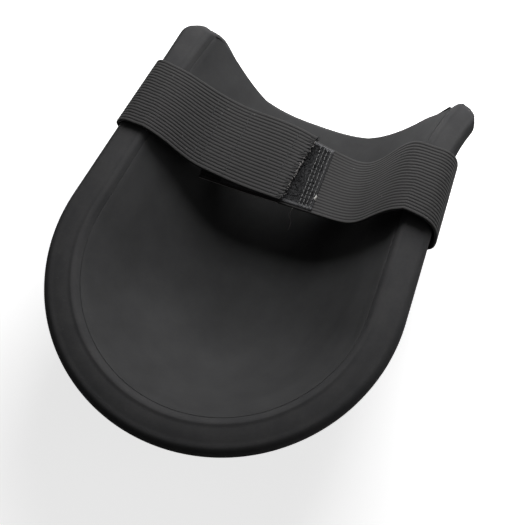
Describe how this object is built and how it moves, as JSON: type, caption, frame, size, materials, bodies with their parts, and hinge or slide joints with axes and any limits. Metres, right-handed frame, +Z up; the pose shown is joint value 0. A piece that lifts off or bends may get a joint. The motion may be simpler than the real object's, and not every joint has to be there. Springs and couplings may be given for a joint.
{
  "type": "knee pad",
  "caption": "Moulded horseshoe knee cup with a bonded liner and one wide elastic band that closes across its open end with hooks and loops.",
  "frame": {"origin": "on the resting surface, under the middle of the pad's box", "axes": "+X across the knee, +Y towards the open end where the shin leaves, +Z up out of the hollow"},
  "size_m": [0.18, 0.2105, 0.0741],
  "materials": {
    "shell_rubber": "matt moulded black, finely mottled",
    "liner_foam": "matt smooth skin",
    "elastic": "ribbed woven elastic",
    "hook_tape": "moulded hook tape",
    "loop_tape": "brushed loop tape",
    "thread": "twisted polyester thread"
  },
  "bodies": {
    "pad": {"moulded_shell": "shell_rubber", "cavity_liner": "liner_foam", "elastic_band_under_run": "elastic"},
    "left_strap": {"strap_left_span": "elastic"},
    "left_tab": {"strap_left_tab": "elastic", "hook_patch": "hook_tape", "hook_patch_stitching": "thread", "tab_end_overcast": "thread"},
    "right_strap": {"strap_right_span": "elastic", "loop_patch": "loop_tape", "loop_patch_stitching": "thread", "tail_end_overcast": "thread"}
  },
  "joints": [
    {"name": "left_strap_swing", "type": "hinge", "parent": "pad", "child": "left_strap", "pos_m": [-0.07117, 0.05975, 0.07365], "axis": [0, -1, 0], "range_deg": [0, 150]},
    {"name": "left_tab_peel", "type": "hinge", "parent": "left_strap", "child": "left_tab", "pos_m": [-0.03345, 0.05975, 0.05088], "axis": [0, -1, 0], "range_deg": [0, 100]},
    {"name": "right_strap_swing", "type": "hinge", "parent": "pad", "child": "right_strap", "pos_m": [0.06833, 0.05975, 0.07335], "axis": [0, 1, 0], "range_deg": [0, 37.5]}
  ],
  "couplings": [
    {"joint": "right_strap_swing", "follows": "left_strap_swing", "ratio": 0.25}
  ]
}
